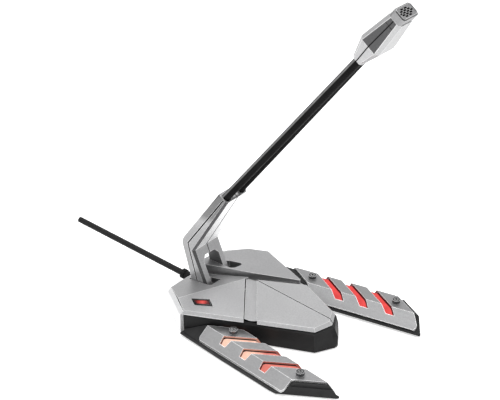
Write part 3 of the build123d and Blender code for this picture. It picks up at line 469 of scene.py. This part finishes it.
# One yoke metal in lit and shaded copies by facing: painted light on the glowing front, painted shade on
# bevels and low inner faces, a painted reflection up the sides.
silver("yoke_metal", (0.47, 0.47, 0.475), metallic=0.95, rough=0.32, dark_bands=[yoke_joint])
silver("yoke_side_reflection", (0.50, 0.50, 0.505), metallic=0.95, rough=0.30, dark_bands=[yoke_back_shade],
       heights=[(0.0, 0.80), (0.40, 0.88), (0.62, 0.92), (0.70, 1.05), (0.76, 0.52), (1.0, 0.40)])
silver("yoke_front_lit", (0.93, 0.93, 0.935), metallic=0.85, rough=0.30, spread=0.02, lift=0.3,
       dark_bands=[yoke_front_joint])
# Side facets: painted light, near white and glowing a little.
silver("facet_silver_lit", (0.90, 0.90, 0.905), metallic=0.8, rough=0.34, spread=0.02, lift=0.10)
silver("yoke_bevel_shaded", (0.17, 0.17, 0.173), metallic=0.95, rough=0.30, spread=0.02, edge=0.1)
silver("yoke_inner_shaded", (0.15, 0.15, 0.153), metallic=0.6, rough=0.45, spread=0.02, edge=0.1)
silver("dark_trim", (0.140, 0.140, 0.143), metallic=0.15, rough=0.55, spread=0.015, edge=0.05,
       dark_bands=[shell_seam, head_seam])
# The wing trim stands for the groove under the wing's edge; its darker silver is painted shade.
silver("trim_silver_shaded", (0.42, 0.42, 0.425), metallic=0.9, rough=0.36)
silver("capsule_metal", (0.42, 0.42, 0.425), metallic=0.95, rough=0.32)
silver("grille_metal", (0.36, 0.36, 0.365), metallic=0.6, rough=0.42, holes=True)
silver("steel", (0.5, 0.5, 0.5), metallic=1.0, rough=0.3)
silver("dark_screw", (0.13, 0.13, 0.135), metallic=1.0, rough=0.2, spread=0.02, edge=0.5)

black("black_plastic", base=0.019, rough=0.42, relief=0.12, edge=0.35)
# The near foot core is a paler copy of the black plastic: painted light.
black("core_plastic_lit", base=0.030, rough=0.45, relief=0.12, edge=0.35)
# Near black for faces in deep shade: painted shade.
black("shade_black", base=0.004, rough=0.7, relief=0.1, edge=0.0, specular=0.05)
black("gloss_black", base=0.004, rough=0.12, relief=0.03, coat=0.25, specular=0.5)
black("rubber", base=0.012, rough=0.75, relief=0.3)
black("neck_sheath", base=0.014, rough=0.35, relief=0.05, edge=0.0, specular=0.04)
add_sheen(mats["neck_sheath"], towards=(-0.18234, 0.77478, 0.60537), level=0.25)
black("braid", base=0.010, rough=0.55, relief=0.3)
black("foam", base=0.002, rough=0.95, grain=2500, relief=0.8)
black("board", base=0.02)

band_light("red_light", [(0.0, (0.80, 0.075, 0.07, 1)), (1.0, (0.78, 0.06, 0.06, 1))],
           bounce=0.4)
band_light("pink_light", [(0.0, (0.76, 0.20, 0.16, 1)), (0.27, (0.78, 0.23, 0.19, 1)),
                          (0.36, (1.0, 0.60, 0.46, 1)), (1.0, (1.0, 0.66, 0.52, 1))],
           bounce=0.8)
# Slot walls of the foot plates glow in the colour of the bars: painted light falling from them.
band_light("wall_pink_glow", [(0.0, (0.34, 0.10, 0.08, 1)), (0.27, (0.34, 0.11, 0.09, 1)),
                         (0.36, (0.50, 0.24, 0.18, 1)), (1.0, (0.50, 0.26, 0.20, 1))],
           bounce=1.0)
band_light("wall_red_glow", [(0.0, (0.10, 0.012, 0.012, 1)), (1.0, (0.10, 0.012, 0.012, 1))],
           bounce=1.0)
key_light("key_red", centre=(-0.0362, 0.0270, 0.0197), radius=0.0050)
black("washer", base=0.5, rough=0.5, specular=0.5)

# Material: (slot of the pieces made from it, CAD nodes that wear it).
# The slot is None where the nodes are only used as loaded.
PIECES = {
    "black_plastic": ("black_plastic", "base_tub foot_core_right key_switch"),
    "core_plastic_lit": ("black_plastic", "foot_core_left"),
    "cover_silver": ("silver_cover", "badge_cover band_insert nose_cover_left nose_cover_right"),
    "rear_silver_shaded": ("silver_cover", "rear_cover"),
    "wing_silver_shaded": ("silver_cover", "wing_cover"),
    "trim_silver_shaded": ("dark_trim", "wing_trim"),
    "facet_silver_lit": ("bright_silver", "side_facet_left side_facet_right"),
    "bright_silver": ("bright_silver",
                      "head_flare_front head_flare_rear head_shell_front head_shell_rear"),
    "foot_sheet": ("foot_sheet", "foot_plate_left"),
    "foot_sheet_far_shaded": ("foot_sheet", "foot_plate_right"),
    "dark_trim": ("dark_trim", "head_panel_left head_panel_right"),
    "gloss_black": ("gloss_black", "key_bezel"),
    "key_red": ("key_red", "mute_key"),
    "pink_light": ("red_light", "light_bars_left"),
    "red_light": ("red_light", "light_bars_right"),
    "yoke_metal": ("yoke_metal", "yoke_left yoke_right yoke_bridge"),
    "steel": (None, "ballast_plate base_screws tilt_pin foot_straps"),
    "dark_screw": ("dark_screw", "foot_screws"),
    "rubber": ("rubber", "rubber_pads neck_bushes cable_sleeve"),
    "washer": (None, "friction_washers"),
    "neck_sheath": ("neck_sheath", " ".join(
        "neck_%s_%s" % (part, side)
        for part in ("root", "one", "two", "three", "four") for side in ("left", "right"))),
    "capsule_metal": ("capsule_metal", "capsule_frame mic_element"),
    "grille_metal": ("capsule_metal", "capsule_grille"),
    "foam": (None, "capsule_foam"),
    "braid": ("braid", "cable"),
    "board": (None, "circuit_board"),
}
look = {}
for material_name, (_, node_names) in PIECES.items():
    for node_name in node_names.split():
        slots = nodes[node_name].data.materials
        slots.clear()
        slots.append(mats[material_name])
        look[node_name] = material_name


# ----------------------------------------------- bevelled copies of CAD pieces
def add_object(name, data):
    obj = bpy.data.objects.new(name, data)
    scene.collection.objects.link(obj)
    return obj


def bevelled(node, width, angle=28.0, sharp=1.2, dissolve=True, extra=(), pick=None, rim=-1):
    """A copy of a CAD node with welded corners and rounded edges, standing for the node.

    angle: edges turning more than this (degrees) are rounded; sharp: edges turning more
    than this shade as creases; extra: materials after the node's own; pick: names the
    extra material of a face from its normal and centre, or None for the node's own;
    rim: material index of the rounded edges.
    """
    source = nodes[node]
    body = body_of(source)[0]
    mesh = source.data.copy()
    mesh.name = node + "_fine"
    mesh.transform(source.matrix_world)
    imported = ("custom_normal", "sharp_face", "sharp_edge")
    for name in [a.name for a in mesh.attributes if a.name in imported]:
        mesh.attributes.remove(mesh.attributes[name])
    face_materials = [look[node], *extra]

    work = bmesh.new()
    work.from_mesh(mesh)
    bmesh.ops.remove_doubles(work, verts=work.verts, dist=3e-6)
    bmesh.ops.dissolve_degenerate(work, dist=2e-6, edges=work.edges)
    if dissolve:
        bmesh.ops.dissolve_limit(work, angle_limit=math.radians(0.25),
                                 verts=work.verts, edges=work.edges)
    work.normal_update()
    for face in work.faces:
        face.smooth = True
        face_material = pick(face.normal.copy(), face.calc_center_median()) if pick else None
        face.material_index = face_materials.index(face_material) if face_material else 0
    for edge in work.edges:
        edge.smooth = (len(edge.link_faces) == 2
                       and edge.calc_face_angle(0.0) <= math.radians(sharp))
    mesh.materials.clear()
    for name in face_materials:
        mesh.materials.append(mats[name])
    work.to_mesh(mesh)
    work.free()

    obj = add_object(node + "_fine", mesh)
    bevel = obj.modifiers.new("round", "BEVEL")
    bevel.width = width
    bevel.segments = 2
    bevel.limit_method = "ANGLE"
    bevel.angle_limit = math.radians(angle)
    bevel.use_clamp_overlap = True
    bevel.harden_normals = True
    bevel.miter_outer = "MITER_SHARP"
    bevel.material = rim
    flats = obj.modifiers.new("flats", "WEIGHTED_NORMAL")
    flats.keep_sharp = True
    flats.weight = 60
    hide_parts(node)
    bpy.context.view_layer.update()
    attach(obj, body)


def cover_cuts(normal, centre):
    """Upright cut walls of a cover are in deep shade."""
    return "shade_black" if abs(normal.z) < 0.25 else None


def band_walls(normal, centre):
    """All of the band but its top is in deep shade."""
    return "shade_black" if normal.z < 0.4 else None


def slot_walls(material_name, root, forward):
    """Picker for the upright faces across the light slots of a foot plate, which get painted light from the
    bars.

    root: XY of the foot's rear end; forward: unit direction down the foot, to its front.
    """
    forward = Vector(forward)
    across = Vector((forward.y, -forward.x, 0))  # towards -X

    def pick(normal, centre):
        offset = Vector((centre.x - root[0], centre.y - root[1], 0))
        run, aside = offset.dot(forward), offset.dot(across)
        in_slots = (0.012 < run + 0.5 * abs(aside) and run < 0.086 - 1.3 * abs(aside)
                    and aside < 0.0085)
        upright = -0.3 < normal.z < 0.35
        return (material_name if upright and in_slots and abs(normal.dot(forward)) > 0.4
                else None)
    return pick


# Outline of the yoke from the front: straight sides, then a taper above the bend.
YOKE_HALF_WIDTH = 0.0148
YOKE_BEND_HEIGHT = 0.0432
YOKE_TAPER_HEIGHT = 0.0541
YOKE_TAPER = 0.0028  # lost from the half width over the taper height


def yoke_faces(normal, centre):
    """Painted light and shade by facing: front lit, bevels and low inner faces shaded, sides with a painted
    reflection; groove black as painted shade, joint black.
    """
    x, z = abs(centre.x), centre.z
    sideways = abs(normal.x)
    half = YOKE_HALF_WIDTH
    if z >= YOKE_BEND_HEIGHT:
        half = YOKE_HALF_WIDTH - YOKE_TAPER * (z - YOKE_BEND_HEIGHT) / YOKE_TAPER_HEIGHT
    at_joint = sideways > 0.9 and x < 0.0006
    groove_floor = sideways > 0.9 and half - 0.0011 < x < half - 0.0005
    groove_wall = sideways < 0.5 and half - 0.0009 < x < half - 0.0001 and z > 0.012
    if at_joint or groove_floor or groove_wall:
        return "shade_black"
    if sideways > 0.85:
        return "yoke_inner_shaded" if x < 0.0110 and z < 0.042 else "yoke_side_reflection"
    if 0.3 < sideways < 0.85 and x > 0.009:
        return "yoke_bevel_shaded"
    if normal.dot(Vector(FRONT_WAY)) > 0.9 and z > 0.05:
        return "yoke_front_lit"
    return None


def capsule_shoulder(normal, centre):
    """Faces of the capsule frame that slope up the neck axis; they take the dark yoke bevel copy as painted
    shade.
    """
    return "yoke_bevel_shaded" if 0.3 < normal.dot(NECK) < 0.9 else None


def grille_sides(normal, centre):
    """Faces of the grille along the neck axis: the hole walls and sides, near black as painted shade."""
    return "shade_black" if abs(normal.dot(NECK)) < 0.6 else None


# Flat-sided pieces and the width of their rounded edges.
EDGE_WIDTHS = {
    "badge_cover": 0.00018, "nose_cover_left": 0.00018, "nose_cover_right": 0.00018,
    "band_insert": 0.00015, "rear_cover": 0.00025, "wing_cover": 0.00035,
    "wing_trim": 0.0002, "side_facet_left": 0.0002, "side_facet_right": 0.0002,
    "foot_plate_left": 0.0003, "foot_plate_right": 0.0003,
    "foot_core_left": 0.0003, "foot_core_right": 0.0003, "base_tub": 0.0003,
    "head_shell_front": 0.00028, "head_shell_rear": 0.00028,
    "head_flare_front": 0.0003, "head_flare_rear": 0.0003,
    "head_panel_left": 0.00012, "head_panel_right": 0.00012,
    "key_bezel": 0.0001, "mute_key": 0.0002,
    "light_bars_left": 0.00015, "light_bars_right": 0.00015,
}
# Flat-sided pieces with a second material, painted shade on cut walls and painted light from the bars on
# slot walls: (material, picker).
PAINTED_LIGHT_FACES = {
    "badge_cover": ("shade_black", cover_cuts),
    "nose_cover_left": ("shade_black", cover_cuts),
    "nose_cover_right": ("shade_black", cover_cuts),
    "band_insert": ("shade_black", band_walls),
    "foot_plate_left": ("wall_pink_glow", slot_walls(
        "wall_pink_glow", root=(-0.0472, 0.0132), forward=(-0.1713, -0.9852, 0))),
    "foot_plate_right": ("wall_red_glow", slot_walls(
        "wall_red_glow", root=(0.0426, -0.0104), forward=(0.1553, -0.9879, 0))),
}
for node_name, edge_width in EDGE_WIDTHS.items():
    if node_name in PAINTED_LIGHT_FACES:
        second, picker = PAINTED_LIGHT_FACES[node_name]
        bevelled(node_name, edge_width, extra=(second,), pick=picker)
    else:
        bevelled(node_name, edge_width,
                 dissolve=node_name != "base_tub" and "head" not in node_name)

for node_name in ("yoke_left", "yoke_right"):
    bevelled(node_name, 0.0003, angle=25.0, sharp=12.0, pick=yoke_faces,
             extra=("yoke_side_reflection", "yoke_front_lit", "yoke_bevel_shaded", "yoke_inner_shaded", "shade_black"))
bevelled("yoke_bridge", 0.0002)

ROUND_PIECE = dict(angle=40.0, sharp=40.0, dissolve=False)  # keeps curved walls smooth
bevelled("foot_screws", 0.00035, **ROUND_PIECE)
bevelled("cable_sleeve", 0.0003, **ROUND_PIECE)
bevelled("capsule_frame", 0.0002, extra=("yoke_bevel_shaded",), pick=capsule_shoulder, **ROUND_PIECE)
# Painted shade: the grille's hole walls and rounded rims are near black.
bevelled("capsule_grille", 0.00030, extra=("shade_black",), pick=grille_sides, rim=1,
         **ROUND_PIECE)


# ------------------------------------------------------------ tube helpers
def tube_faces(first, rows, around):
    """Walls and end caps of a tube whose rings of vertices start at index `first`."""
    faces = []
    for i in range(rows - 1):
        low = first + i * around
        high = low + around
        for k in range(around):
            j = (k + 1) % around
            faces.append((low + k, low + j, high + j, high + k))
    last = first + (rows - 1) * around
    faces.append(tuple(reversed(range(first, first + around))))
    faces.append(tuple(range(last, last + around)))
    return faces


def mesh_object(name, verts, faces, material_name, smooth=True):
    mesh = bpy.data.meshes.new(name)
    mesh.from_pydata([tuple(v) for v in verts], [], faces)
    mesh.validate()
    mesh.update()
    work = bmesh.new()
    work.from_mesh(mesh)
    bmesh.ops.recalc_face_normals(work, faces=work.faces)
    work.to_mesh(mesh)
    work.free()
    mesh.polygons.foreach_set("use_smooth", [smooth] * len(mesh.polygons))
    mesh.materials.append(mats[material_name])
    obj = add_object(name, mesh)
    return obj


# ------------------------------------------------------- ribbed goosenecks
NECK_OFFSET = 0.0080  # from the middle plane to a neck's axis, at the collar
NECK_CLOSING = 0.0048 / 0.1643  # offset lost per length of neck
RIB_PITCH = 0.00165
VALLEY_RADIUS = 0.00276
# One rib between two valleys: (fraction of the pitch, radius).
RIB = [(0.10, 0.00288), (0.24, 0.00298), (0.5, 0.00300), (0.76, 0.00298), (0.90, 0.00288)]
NECK_AROUND = 28
BEND_REACH = 0.014  # length blended on each side of a hinge
# Letter, start and end along the neck, CAD parts replaced, bodies below and above, hinge.
NECK_SPANS = [
    ("a", -0.009, 0.034, ("root",), "yoke", "neck_lower", 0.016),
    ("b", 0.034, 0.070, ("one",), "neck_lower", "neck_middle", 0.052),
    ("c", 0.070, 0.106, ("two",), "neck_middle", "neck_upper", 0.088),
    ("d", 0.106, 0.170, ("three", "four"), "neck_upper", "head", 0.124),
]


def neck_centre(side, reach):
    return COLLAR + NECK * reach + SIDE * side * (NECK_OFFSET - NECK_CLOSING * reach)


def ribbed(name, side, start, end):
    count = round((end - start) / RIB_PITCH)
    step = (end - start) / count
    stations = [(start, VALLEY_RADIUS)]
    for i in range(count):
        stations += [(start + (i + fraction) * step, radius) for fraction, radius in RIB]
        stations.append((start + (i + 1) * step, VALLEY_RADIUS))
    verts = []
    for reach, radius in stations:
        centre = neck_centre(side, reach)
        for k in range(NECK_AROUND):
            angle = 2 * math.pi * k / NECK_AROUND
            verts.append(centre + SIDE * (radius * math.cos(angle))
                         + OVER * (radius * math.sin(angle)))
    return mesh_object(name, verts, tube_faces(0, len(stations), NECK_AROUND), "neck_sheath")


for side, tag in ((-1, "left"), (1, "right")):
    for letter, start, end, parts, below, above, hinge in NECK_SPANS:
        rings = ribbed("neck_rings_%s_%s" % (letter, tag), side, start, end)
        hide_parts(*["neck_%s_%s" % (part, tag) for part in parts])
        bpy.context.view_layer.update()
        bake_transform(rings, below, above,
                 COLLAR + NECK * (hinge - BEND_REACH), COLLAR + NECK * (hinge + BEND_REACH))

# ----------------------------------------------------------- braided cable
END_SLACK = 0.0006  # vertices this close in Y to an end of the cable belong to that end
BRAID_TURN = 0.0125  # length of one full turn of a strand
BRAID_STRANDS = 12  # wound each way
BRAID_STEP = 0.00055
BRAID_RADIUS = 0.00226
WEAVE_DEPTH = 0.00007  # strands rise and sink by this much
STRAND_HALF_WIDTH = 0.00042
STRAND_HALF_THICKNESS = 0.00007
# Cross-section of a strand: (half widths sideways, half thicknesses outward).
STRAND_SECTION = ((-1, -0.5), (-0.6, 1), (0.6, 1), (1, -0.5))
CORE_RADIUS = 0.00222
CORE_AROUND = 24


def cable_ends():
    """Middles of the lowest-Y and highest-Y ends of the CAD cable."""
    source = nodes["cable"]
    points = [source.matrix_world @ v.co for v in source.data.vertices]
    low, high = min(p.y for p in points), max(p.y for p in points)
    low_end = [p for p in points if p.y < low + END_SLACK]
    high_end = [p for p in points if p.y > high - END_SLACK]
    return sum(low_end, Vector()) / len(low_end), sum(high_end, Vector()) / len(high_end)


cable_start, cable_end = cable_ends()
cable_axis = (cable_end - cable_start).normalized()
cable_over = cable_axis.cross(SIDE).normalized()
cable_length = (cable_end - cable_start).length


def cable_outward(angle):
    return SIDE * math.cos(angle) + cable_over * math.sin(angle)


def strand_path(way, k):
    """Points and outward normals of strand `k`, wound in direction `way` (1 or -1)."""
    path, normals = [], []
    steps = int(cable_length / BRAID_STEP)
    for i in range(steps + 1):
        reach = cable_length * i / steps
        normal = cable_outward(way * 2 * math.pi * reach / BRAID_TURN
                               + 2 * math.pi * k / BRAID_STRANDS)
        weave = math.cos(BRAID_STRANDS * (2 * math.pi * reach / BRAID_TURN)
                         + (0 if way > 0 else math.pi) + math.pi * k)
        path.append(cable_start + cable_axis * reach
                    + normal * (BRAID_RADIUS + WEAVE_DEPTH * weave))
        normals.append(normal)
    return path, normals


def strand_verts(path, normals):
    verts = []
    for i, (point, normal) in enumerate(zip(path, normals)):
        along = (path[min(i + 1, len(path) - 1)] - path[max(i - 1, 0)]).normalized()
        sideways = along.cross(normal).normalized()
        for u, v in STRAND_SECTION:
            verts.append(point + sideways * (STRAND_HALF_WIDTH * u)
                         + normal * (STRAND_HALF_THICKNESS * v))
    return verts


def braided_cable():
    verts, faces = [], []
    for way in (1, -1):
        for k in range(BRAID_STRANDS):
            path, normals = strand_path(way, k)
            faces += tube_faces(len(verts), len(path), len(STRAND_SECTION))
            verts += strand_verts(path, normals)
    faces += tube_faces(len(verts), 2, CORE_AROUND)
    for reach in (0.0, cable_length):
        for k in range(CORE_AROUND):
            outward = cable_outward(2 * math.pi * k / CORE_AROUND)
            verts.append(cable_start + cable_axis * reach + outward * CORE_RADIUS)
    return mesh_object("cable_braid", verts, faces, "braid", smooth=False)


braid = braided_cable()
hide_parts("cable")
bpy.context.view_layer.update()
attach(braid, "base")


# ------------------------------------------------------------------- stage
def add_camera():
    data = bpy.data.cameras.new("view_camera")
    data.lens = 86.4
    data.sensor_width = 36.0
    data.clip_start, data.clip_end = 0.05, 20
    camera = add_object("view_camera", data)
    columns = (CAMERA_RIGHT, CAMERA_UP, CAMERA_BACK, CAMERA_PLACE)
    camera.matrix_world = Matrix([[c[row] for c in columns] for row in range(3)]
                                 + [[0, 0, 0, 1]])
    scene.camera = camera


def add_floor():
    """White floor, just below the base, that also glows a little."""
    work = bmesh.new()
    bmesh.ops.create_grid(work, x_segments=1, y_segments=1, size=6.0)
    mesh = bpy.data.meshes.new("floor")
    work.to_mesh(mesh)
    work.free()
    floor = add_object("floor", mesh)
    floor.location = (0, 0, -0.0002)
    tree, bsdf = new_material("floor_white")
    tone = noise(tree, coords(tree), scale=3.0)
    feed(tree, bsdf.inputs["Base Color"],
         ramp(tree, tone, [(0.3, grey(0.90)), (0.7, grey(0.92))]))
    feed(tree, bsdf.inputs["Roughness"], 0.9)
    feed(tree, bsdf.inputs["Specular IOR Level"], 0.0)
    feed(tree, bsdf.inputs["Emission Color"], WHITE)
    feed(tree, bsdf.inputs["Emission Strength"],
         level_by_ray(tree, 0.22, camera_extra=0.38))
    mesh.materials.append(mats["floor_white"])


def add_surround():
    """Grey studio walls, paler upwards, with a dark patch where the camera stands."""
    world = bpy.data.worlds.new("studio")
    scene.world = world
    world.use_nodes = True
    tree = world.node_tree
    background = tree.nodes["Background"]
    source = tree.nodes.new("ShaderNodeTexCoord")
    direction = tree.nodes.new("ShaderNodeVectorMath")
    direction.operation = "NORMALIZE"
    tree.links.new(source.outputs["Generated"], direction.inputs[0])
    way = direction.outputs["Vector"]
    facing = vector_calc(tree, "DOT_PRODUCT", way, tuple(CAMERA_BACK))
    patch = map_range(tree, facing, (0.72, 0.95), (1.0, 0.14), smooth=True)
    height = map_range(tree, split_xyz(tree, way)["Z"], (0.0, 0.9), (0.62, 0.80))
    feed(tree, background.inputs["Color"], WHITE)
    feed(tree, background.inputs["Strength"], calc(tree, "MULTIPLY", height, patch))


def add_overhead_light():
    """Square lamp straight above the base, pointing down."""
    data = bpy.data.lights.new("overhead", "AREA")
    data.shape = "RECTANGLE"
    data.size = data.size_y = 1.1
    data.energy = 9
    lamp = add_object("overhead", data)
    lamp.location = (0.0, 0.0, 1.3)
    lamp.rotation_mode = "QUATERNION"
    lamp.rotation_quaternion = Vector((0, 0, -1.3)).to_track_quat("-Z", "Y")


add_camera()
add_floor()
add_surround()
add_overhead_light()
scene.view_settings.view_transform = "Standard"
